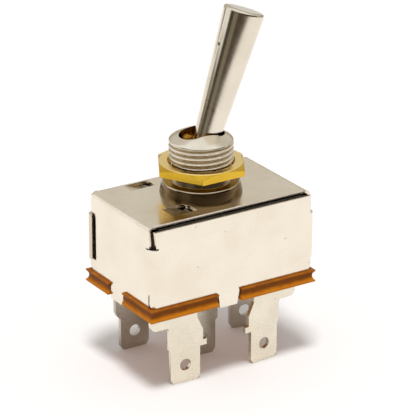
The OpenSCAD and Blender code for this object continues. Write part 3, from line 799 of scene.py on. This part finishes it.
@dataclass
class Bushing:
    """Threaded bushing: round flange, cut thread, domed crown and the slot for the lever.

    The dome's points are radius, height above crown_mm and rounding.
    """

    finishes: Finishes
    top_mm: float = 33.4
    collar_radius_mm: float = 6.9
    collar_depth_mm: float = 1.15
    spigot_radius_mm: float = 6.3
    spigot_depth_mm: float = 0.65
    thread_radius_mm: float = 6.0
    thread_depth_mm: float = 0.45
    pitch_mm: float = 1.0
    groove_share: float = 0.14
    flank_share: float = 0.68
    run_out_mm: float = 0.3
    land_mm: float = 0.05
    row_mm: float = 0.055
    grip_low_mm: float = 37.8
    thread_low_mm: float = 39.7
    thread_high_mm: float = 43.55
    neck_radius_mm: float = 5.75
    neck_draft_mm: float = 0.4
    grip_radius_mm: float = 5.5
    flange_radius_mm: float = 7.7
    flange_height_mm: float = 2.45
    flange_draft_mm: float = 0.45
    crown_mm: float = 45.3
    dome_mm: tuple[Triple, ...] = ((4.2, -0.55, 0.8), (2.6, 0.02, 0.5), (1.2, 0.25, 0))
    slot_radius_mm: float = 2.67
    slot_height_mm: float = 8.0
    slot_edge_mm: float = 0.10
    slot_edge_deg: float = 50.0
    front_play_mm: float = 0.75
    seat_radius_mm: float = 3.95
    tail_radius_mm: float = 2.6
    tail_play_mm: float = 0.12
    flare_depth_mm: float = 8.3
    seat_sides: int = 96
    sides: int = 144

    def thread_radius(self, turn: float, height: float) -> float:
        """Radius of the thread's surface.

        Args:
            turn: share of a turn about the axis.
            height: height in millimetres.

        Returns:
            The radius in millimetres.
        """
        phase = (height / self.pitch_mm - turn) % 1.0
        flank = abs(phase - 0.5) * 2.0
        shape = min(1.0, max(0.0, (flank - self.groove_share) / self.flank_share))
        shape = shape * shape * (3.0 - 2.0 * shape) * 0.5 + shape * 0.5
        left = self.thread_high_mm - self.land_mm - height
        fade = min(1.0, max(0.0, left / self.run_out_mm))
        return self.thread_radius_mm - self.thread_depth_mm * fade * (1.0 - shape)

    def outer_rows(self) -> list[Points]:
        """Builds the outside row by row, from the collar under the case's top up to the crown.

        Returns:
            Rows of (radius, height) in millimetres, each with one entry per side.
        """
        top, flange = self.top_mm, self.flange_radius_mm
        collar, spigot = self.collar_radius_mm, self.spigot_radius_mm
        # both profiles are (radius, height, rounding)
        lower = rounded([
            (0.0, top - self.collar_depth_mm, 0), (collar, top - self.collar_depth_mm, 0.1),
            (collar, top - self.spigot_depth_mm, 0), (spigot, top - self.spigot_depth_mm, 0),
            (spigot, top, 0), (flange, top, 0.05), (flange, top + 0.2, 0.12),
            (flange - self.flange_draft_mm, top + self.flange_height_mm - 0.3, 0.2),
            (flange - self.flange_draft_mm - 0.2, top + self.flange_height_mm, 0.16),
            (self.neck_radius_mm + 0.12, top + self.flange_height_mm, 0.1),
            (self.neck_radius_mm, top + self.flange_height_mm + 0.12, 0.08),
            (self.neck_radius_mm - self.neck_draft_mm, self.grip_low_mm, 0),
            (self.grip_radius_mm - 0.16, self.grip_low_mm + 0.02, 0),
            (self.grip_radius_mm, self.thread_low_mm, 0)])
        rows = [[(r, h)] * self.sides for r, h in lower[1:]]
        height = self.thread_low_mm + 0.001
        while height <= self.thread_high_mm + 1e-6:
            rows.append([(self.thread_radius(i / self.sides, height), height)
                         for i in range(self.sides)])
            height += self.row_mm
        crown = rounded([
            (self.thread_radius_mm, self.thread_high_mm + 0.02, 0),
            (self.thread_radius_mm - 0.10, self.thread_high_mm + 0.22, 0.12),
            (self.thread_radius_mm - 0.62, self.thread_high_mm + 0.62, 0.4),
            *((r, self.crown_mm + h, rounding) for r, h, rounding in self.dome_mm)])
        rows += [[(r, h)] * self.sides for r, h in crown]
        return rows

    def shell(self) -> bmesh.types.BMesh:
        """The bushing's outside as a closed solid.

        Returns:
            The bmesh.
        """
        mesh = bmesh.new()
        skin(mesh, [ring(mesh, [(r * MM, h * MM) for r, h in row]) for row in self.outer_rows()])
        return mesh

    def slot_tool(self) -> bpy.types.Object:
        """The cutter for the lever's slot: the space that the neck sweeps.

        Returns:
            The cutter's object.
        """
        mesh = bmesh.new()
        r = self.slot_radius_mm * MM
        spread = math.radians(THROW_DEG)
        count = 32
        rings: Rings = []
        for level in (0.0, self.slot_height_mm * MM):
            outline = []
            for side in (1, -1):
                centre = Vector((side * level * math.tan(spread), 0.0))
                wide = r + (self.front_play_mm * MM if side > 0 else 0.0)
                for i in range(count):
                    a = -math.pi / 2 + math.pi * i / (count - 1) + (0 if side > 0 else math.pi)
                    x = centre.x + (r / math.cos(spread)) * math.cos(a)
                    y = (wide if math.sin(a) < 0 else r) * math.sin(a)
                    outline.append(mesh.verts.new((x, y, level + PIVOT_MM * MM)))
            rings.append(outline)
        skin(mesh, rings)
        bmesh.ops.remove_doubles(mesh, verts=mesh.verts[:], dist=1e-7)
        bmesh.ops.recalc_face_normals(mesh, faces=mesh.faces[:])
        return new_piece("slot_tool", mesh, self.finishes.bore)

    def seat_tool(self) -> bpy.types.Object:
        """The cutter for the ball seat and the flare below it.

        Returns:
            The cutter's object.
        """
        seat, depth = self.seat_radius_mm, self.flare_depth_mm
        spread = math.tan(math.radians(THROW_DEG))
        tail = self.tail_radius_mm / math.cos(math.radians(THROW_DEG)) + self.tail_play_mm
        steps = 20
        profile = [(0.0, seat)]
        profile += [(seat * math.sin(a), seat * math.cos(a))
                    for a in (math.pi / 2 * i / steps for i in range(1, steps + 1))]
        profile += [(seat, -(seat - tail) / spread), (tail + spread * depth, -depth),
                    (0.0, -depth)]
        mesh = turned([(r * MM, (h + PIVOT_MM) * MM) for r, h in profile], self.seat_sides)
        return new_piece("seat_tool", mesh, self.finishes.bore)

    def build(self) -> bpy.types.Object:
        """Builds the bushing, in place of its CAD node.

        Returns:
            The bushing's object.
        """
        piece = new_piece("bushing_threaded", self.shell(), self.finishes.bushing)
        cut(piece, self.seat_tool())
        cut(piece, self.slot_tool())
        edge = piece.modifiers.new("slot_edge", "BEVEL")
        edge.width = self.slot_edge_mm * MM
        edge.segments = 2
        edge.limit_method = "ANGLE"
        edge.angle_limit = math.radians(self.slot_edge_deg)
        smooth(piece, CRISP_DEG)
        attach(piece, "base")
        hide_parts("bushing")
        LOG.info("bushing: %d faces", len(piece.data.polygons))
        return piece


@dataclass
class Lever:
    """Bat lever: a polished cone with a flat top, on its ball, with the hollow tail below."""

    finishes: Finishes
    length_mm: float = 28.45
    tip_radius_mm: float = 3.9
    neck_radius_mm: float = 2.55
    neck_at_mm: float = 5.3
    ball_radius_mm: float = 3.9
    tail_radius_mm: float = 2.6
    tail_mm: float = 10.6
    bore_radius_mm: float = 1.75
    bore_end_mm: float = 3.6
    root_at_mm: float = 3.1
    chamfer_mm: float = 0.15
    waist_mm: float = 10.0
    tip_round_mm: float = 0.62
    tip_ring_mm: float = 1.2
    sides: int = 128

    def profile(self) -> Points:
        """Draws the half section, from the bore's blind end round to the tip's middle.

        Returns:
            The (radius, height) points in millimetres, above and below the pivot.
        """
        taper = (self.tip_radius_mm - self.neck_radius_mm) / (self.length_mm - self.neck_at_mm)
        root_radius = self.neck_radius_mm - taper * (self.neck_at_mm - self.root_at_mm)
        ball, chamfer = self.ball_radius_mm, self.chamfer_mm
        low = math.asin(self.tail_radius_mm / ball)
        high = math.asin(root_radius / ball)
        points = [(0.0, -self.bore_end_mm), (self.bore_radius_mm, -self.bore_end_mm),
                  (self.bore_radius_mm, -self.tail_mm + chamfer),
                  (self.bore_radius_mm + chamfer, -self.tail_mm),
                  (self.tail_radius_mm - chamfer, -self.tail_mm),
                  (self.tail_radius_mm, -self.tail_mm + chamfer)]
        steps = 36
        for i in range(steps + 1):
            a = math.pi - low + (high - (math.pi - low)) * i / steps
            points.append((ball * math.sin(a), ball * math.cos(a)))
        points.append((self.neck_radius_mm, self.neck_at_mm))
        points.append((self.neck_radius_mm + taper * self.waist_mm,
                       self.neck_at_mm + self.waist_mm))
        tip = self.length_mm - INSIDE_MM
        points += fillet((self.tip_radius_mm - INSIDE_MM, tip), (root_radius, self.root_at_mm),
                         (0.0, tip), self.tip_round_mm, 9)
        points += [(self.tip_radius_mm - self.tip_ring_mm, tip), (0.0, tip)]
        return points

    def build(self) -> bpy.types.Object:
        """Builds the lever, in place of its CAD node.

        Returns:
            The lever's object.
        """
        mesh = turned([(r * MM, h * MM) for r, h in self.profile()], self.sides)
        piece = new_piece("lever_polished", mesh, self.finishes.lever)
        piece.matrix_world = leaned()
        smooth(piece, CRISP_DEG)
        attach(piece, "lever")
        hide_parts("lever")
        LOG.info("lever: %d faces", len(piece.data.polygons))
        return piece


@dataclass
class Spring:
    """Helical spring between the lever's bore and the plunger."""

    finishes: Finishes
    radius_mm: float = 1.4
    wire_mm: float = 0.4
    low_mm: float = -7.75
    high_mm: float = -3.85
    coils: int = 5
    steps: int = 40
    sides: int = 12
    pressed_share: float = 0.8

    def build(self) -> bpy.types.Object:
        """Builds the spring, in place of its CAD node.

        Returns:
            The spring's object.
        """
        mesh = bmesh.new()
        count = self.steps * self.coils
        rings: Rings = []
        for n in range(count + 1):
            turn = 2 * math.pi * self.coils * n / count
            height = self.low_mm + (self.high_mm - self.low_mm) * n / count
            wire = []
            for i in range(self.sides):
                a = 2 * math.pi * i / self.sides
                r = self.radius_mm + self.wire_mm / 2 * math.cos(a)
                wire.append(mesh.verts.new(mm(r * math.cos(turn), r * math.sin(turn),
                                              height + self.wire_mm / 2 * math.sin(a))))
            rings.append(wire)
        skin(mesh, rings)
        piece = new_piece("spring_coil", mesh, self.finishes.spring)
        piece.matrix_world = leaned()
        smooth(piece, 60.0)
        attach(piece, "lever")
        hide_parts("plunger_spring")
        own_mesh(piece)
        LOG.info("spring: %d faces", len(piece.data.polygons))
        return piece


@dataclass
class Dressing:
    """The CAD nodes that keep their solids: each gets its finish."""

    finishes: Finishes
    nodes: dict[str, bpy.types.Object]
    plan: dict[str, str] = field(default_factory=lambda: {
        "housing": "case", "hex_nut": "nut", "base_plate": "base", "insulating_liner": "liner",
        "plunger": "plunger", "fulcrum_saddle": "copper", "contact_bar": "copper",
        "rocker_cap": "cap", "saddle_rivet_front": "rivet", "saddle_rivet_rear": "rivet",
        "terminal_front_left": "terminal", "terminal_front_right": "terminal",
        # painted shade: the rear blades and the common one take the darker copy
        "terminal_rear_left": "shaded_terminal", "terminal_rear_right": "shaded_terminal",
        "terminal_common": "shaded_terminal",
        "fixed_contact_front_left": "silver", "fixed_contact_front_right": "silver",
        "fixed_contact_rear_left": "silver", "fixed_contact_rear_right": "silver",
        "moving_contact_front_left": "silver", "moving_contact_front_right": "silver",
        "moving_contact_rear_left": "silver", "moving_contact_rear_right": "silver"})

    def dress(self) -> None:
        """Puts every planned finish on its node."""
        for name, finish in self.plan.items():
            material = getattr(self.finishes, finish)
            for slot in self.nodes[name].material_slots:
                slot.material = material
            LOG.info("%s: %s", name, material.name)


# ---------------------------------------------------------------- studio


def shown_rays(tree: bpy.types.NodeTree) -> Socket:
    """Picks the rays that show the background as it is: straight, glossy and transmitted ones.

    Args:
        tree: the node tree that takes the nodes.

    Returns:
        The socket, 1 for such a ray and 0 for the rest.
    """
    path = tree.nodes.new("ShaderNodeLightPath")
    seen = path.outputs["Is Camera Ray"]
    for kind in ("Is Glossy Ray", "Is Transmission Ray"):
        more = tree.nodes.new("ShaderNodeMath")
        more.operation = "MAXIMUM"
        tree.links.new(seen, more.inputs[0])
        tree.links.new(path.outputs[kind], more.inputs[1])
        seen = more.outputs[0]
    return seen


@dataclass(frozen=True)
class Screen:
    """A curved screen round the object that only reflections see.

    Start and end are azimuths, 0 in front and positive to the left. Low and high are elevations.
    The middle is the height that they are seen from, and the level is the brightness per channel.
    """

    name: str
    start_deg: float
    end_deg: float
    low_deg: float
    high_deg: float
    radius: float
    level: Colour
    middle: float = 0.035
    columns: int = 24
    rows: int = 8

    def mesh(self) -> bmesh.types.BMesh:
        """Builds the screen's surface.

        Returns:
            The bmesh, in metres.
        """
        mesh = bmesh.new()
        grid = []
        for i in range(self.columns + 1):
            a = math.radians(self.start_deg + (self.end_deg - self.start_deg) * i / self.columns)
            line = []
            for j in range(self.rows + 1):
                e = math.radians(self.low_deg + (self.high_deg - self.low_deg) * j / self.rows)
                line.append(mesh.verts.new((
                    -self.radius * math.sin(a) * math.cos(e),
                    -self.radius * math.cos(a) * math.cos(e),
                    self.radius * math.sin(e) + self.middle)))
            grid.append(line)
        for i in range(self.columns):
            for j in range(self.rows):
                mesh.faces.new((grid[i][j], grid[i + 1][j], grid[i + 1][j + 1], grid[i][j + 1]))
        return mesh

    def build(self) -> None:
        """Hangs the screen, hidden from every ray but the glossy ones."""
        material = bpy.data.materials.new(self.name)
        material.use_nodes = True
        tree = material.node_tree
        tree.nodes.clear()
        glow = tree.nodes.new("ShaderNodeEmission")
        glow.inputs["Color"].default_value = (*self.level, 1.0)
        out = tree.nodes.new("ShaderNodeOutputMaterial")
        tree.links.new(glow.outputs[0], out.inputs["Surface"])
        piece = new_piece(self.name, self.mesh(), material)
        piece.visible_camera = False
        piece.visible_diffuse = False
        piece.visible_shadow = False


@dataclass
class Studio:
    """Camera, pale floor, soft light, and screens that only metal sees."""

    azimuth_deg: float = -32.90
    elevation_deg: float = 22.43
    roll_deg: float = 0.29
    distance_mm: float = 475.5
    target_mm: Triple = (1.09, -0.75, 29.93)
    lens_mm: float = 222.36
    sensor_mm: float = 36.0
    clip: tuple[float, float] = (0.01, 20.0)
    floor_half: float = 3.0
    floor_tones: tuple[Colour, Colour] = ((0.90, 0.885, 0.88), (0.91, 0.90, 0.90))
    floor_per_mm: float = 0.004
    floor_glow: float = 0.05
    dome: Colour = (1.0, 0.985, 0.96)
    dome_strength: float = 0.52
    key_from: Triple = (-0.095, -0.140, 0.58)
    key_angle_deg: float = 13.0
    key_strength: float = 1.95
    screens: tuple[Screen, ...] = (
        # dark side of the room: two dark screens with a grey one between them
        Screen("dark_right", -60, 61, -4, 32, 0.5, (0.066, 0.045, 0.028)),
        Screen("grey_gap", 61, 86, -4, 32, 0.5, (0.210, 0.188, 0.145)),
        Screen("dark_left", 86, 109, -4, 32, 0.5, (0.055, 0.042, 0.024)),
        # low brown bands that carry the dark side on round the flange
        Screen("low_left", 109, 136, -4, 6.5, 0.5, (0.130, 0.085, 0.030)),
        Screen("low_right", -115, -60, -4, 6.5, 0.5, (0.240, 0.150, 0.065)),
        # far side: a dark band along the horizon, an olive one above it, then a pale wall
        Screen("far_band", 150, 290, -2, 3, 1.3, (0.080, 0.060, 0.030)),
        Screen("far_olive", 150, 290, 3, 13.5, 1.3, (0.480, 0.425, 0.300)),
        Screen("far_side", 150, 290, 13.5, 60, 1.3, (0.665, 0.635, 0.580)))

    def camera(self) -> None:
        """Places the camera."""
        a, e = math.radians(self.azimuth_deg), math.radians(self.elevation_deg)
        back = Vector((math.sin(a) * math.cos(e), -math.cos(a) * math.cos(e), math.sin(e)))
        right = Vector((math.cos(a), math.sin(a), 0.0))
        up = back.cross(right)
        roll = math.radians(self.roll_deg)
        right, up = (right * math.cos(roll) + up * math.sin(roll),
                     up * math.cos(roll) - right * math.sin(roll))
        data = bpy.data.cameras.new("camera")
        data.sensor_width = self.sensor_mm
        data.lens = self.lens_mm
        data.clip_start, data.clip_end = self.clip
        cam = bpy.data.objects.new("camera", data)
        bpy.context.scene.collection.objects.link(cam)
        turn = Matrix((right, up, back)).transposed().to_4x4()
        place = mm(*self.target_mm) + back * self.distance_mm * MM
        cam.matrix_world = Matrix.Translation(place) @ turn
        bpy.context.scene.camera = cam

    def floor(self) -> None:
        """Lays the pale floor on which the blades stand."""
        mesh = bmesh.new()
        bmesh.ops.create_grid(mesh, x_segments=1, y_segments=1, size=self.floor_half)
        g = Graph("floor_paper")
        tree = g.tree
        low, high = self.floor_tones
        cloud = g.noise(self.floor_per_mm, detail=2.0)
        g.set(base_color=g.ramp(cloud, [(0.3, low), (0.7, high)]), roughness=0.9,
              specular_ior_level=0.0)
        glow = tree.nodes.new("ShaderNodeEmission")
        g.link(g.maths("MULTIPLY", shown_rays(tree), self.floor_glow), glow.inputs["Strength"])
        add = tree.nodes.new("ShaderNodeAddShader")
        g.link(g.shader.outputs[0], add.inputs[0])
        g.link(glow.outputs[0], add.inputs[1])
        g.link(add.outputs[0], g.output.inputs["Surface"])
        floor = new_piece("floor", mesh, g.material)

    def surroundings(self) -> None:
        """Sets the soft dome, which shown rays see as plain white."""
        world = bpy.data.worlds.new("surroundings")
        bpy.context.scene.world = world
        world.use_nodes = True
        tree = world.node_tree
        tree.nodes.clear()
        dome = tree.nodes.new("ShaderNodeBackground")
        dome.inputs["Color"].default_value = (*self.dome, 1.0)
        dome.inputs["Strength"].default_value = self.dome_strength
        white = tree.nodes.new("ShaderNodeBackground")
        white.inputs["Color"].default_value = (1.0, 1.0, 1.0, 1.0)
        mix = tree.nodes.new("ShaderNodeMixShader")
        tree.links.new(shown_rays(tree), mix.inputs["Fac"])
        tree.links.new(dome.outputs[0], mix.inputs[1])
        tree.links.new(white.outputs[0], mix.inputs[2])
        out = tree.nodes.new("ShaderNodeOutputWorld")
        tree.links.new(mix.outputs[0], out.inputs["Surface"])

    def key(self) -> None:
        """Hangs the soft key lamp, which doesn't show in the metal."""
        data = bpy.data.lights.new("key", "SUN")
        data.angle = math.radians(self.key_angle_deg)
        data.energy = self.key_strength
        lamp = bpy.data.objects.new("key", data)
        lamp.location = self.key_from
        lamp.rotation_euler = (-lamp.location).to_track_quat("-Z", "Y").to_euler()
        lamp.visible_glossy = False
        bpy.context.scene.collection.objects.link(lamp)

    def build(self) -> None:
        """Sets up the whole studio."""
        bpy.context.scene.view_settings.view_transform = "Standard"
        self.camera()
        self.floor()
        self.surroundings()
        self.key()
        for screen in self.screens:
            screen.build()


def main() -> None:
    """Builds the switch on its frame."""
    logging.basicConfig(level=logging.INFO, format="%(name)s: %(message)s")
    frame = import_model()
    finishes = Finishes()
    Studio().build()
    Dressing(finishes, frame["nodes"]).dress()
    Bushing(finishes).build()
    Lever(finishes).build()
    Spring(finishes).build()


if __name__ == "__main__":
    main()
